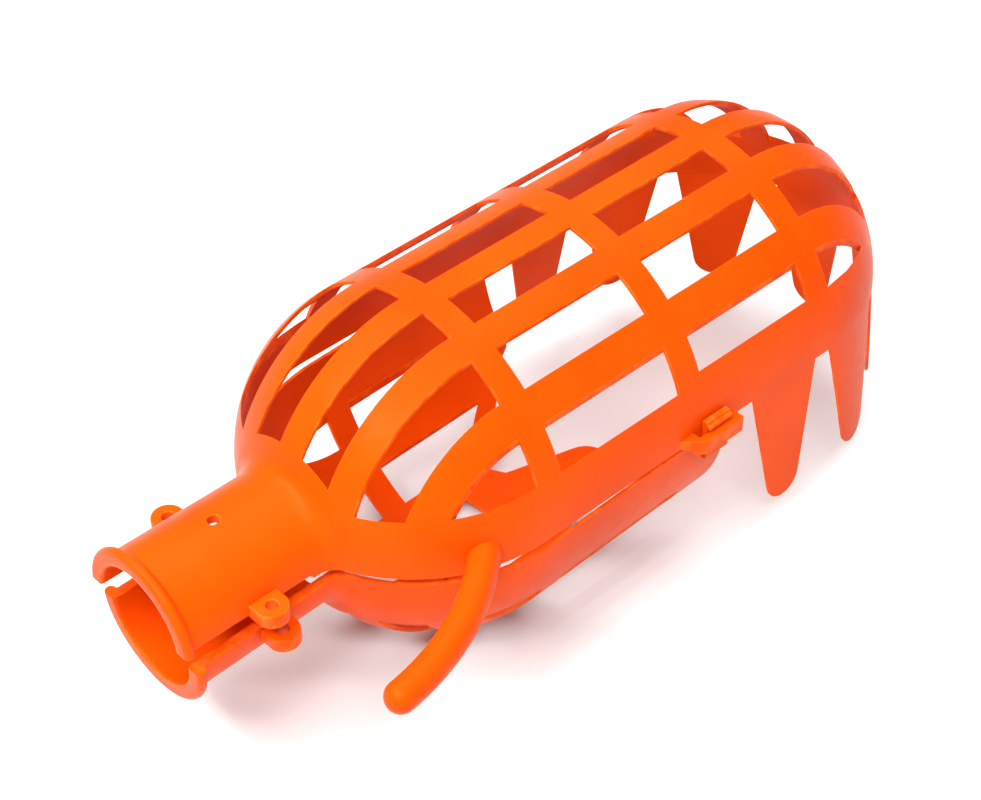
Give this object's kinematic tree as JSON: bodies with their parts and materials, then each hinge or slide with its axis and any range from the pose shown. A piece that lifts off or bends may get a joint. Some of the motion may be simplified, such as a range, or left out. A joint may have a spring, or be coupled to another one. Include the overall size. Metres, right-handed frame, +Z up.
{
  "type": "fruit picker head",
  "caption": "Barred two-half fruit picker basket with a pole socket, downward fingers round its front, a side hook, snap latches and a hinging lower scoop.",
  "frame": {"origin": "centre of the pole socket's mouth, on the seam between the two halves", "axes": "+X from the socket's mouth to the front of the basket, +Z up out of the seam, +Y to the left"},
  "size_m": [0.3264, 0.1591, 0.1291],
  "materials": {
    "plastic": "satin"
  },
  "bodies": {
    "upper_half": {"upper_neck": "plastic", "upper_lip": "plastic", "upper_ear_left": "plastic", "upper_ear_right": "plastic", "rear_dome": "plastic", "cage_bay_rear": "plastic", "cage_bay_front": "plastic", "front_dome": "plastic", "finger_middle": "plastic", "finger_left_1": "plastic", "finger_left_2": "plastic", "finger_left_3": "plastic", "finger_right_1": "plastic", "finger_right_2": "plastic", "finger_right_3": "plastic", "hook": "plastic", "latch_bracket_left": "plastic", "latch_bracket_right": "plastic"},
    "latch_tabs": {"snap_tab_left": "plastic", "snap_tab_right": "plastic"},
    "lower_half": {"lower_neck": "plastic", "lower_lip": "plastic", "lower_ear_left": "plastic", "lower_ear_right": "plastic", "lower_dome": "plastic", "lower_scoop": "plastic"}
  },
  "joints": [
    {"name": "latch_slide", "type": "slide", "parent": "upper_half", "child": "latch_tabs", "axis": [1, 0, 0], "range_m": [-0.003, 0.001]},
    {"name": "scoop_hinge", "type": "hinge", "parent": "latch_tabs", "child": "lower_half", "pos_m": [0.198, 0, 0.003], "axis": [0, 1, 0], "range_deg": [0, 2.1]}
  ]
}
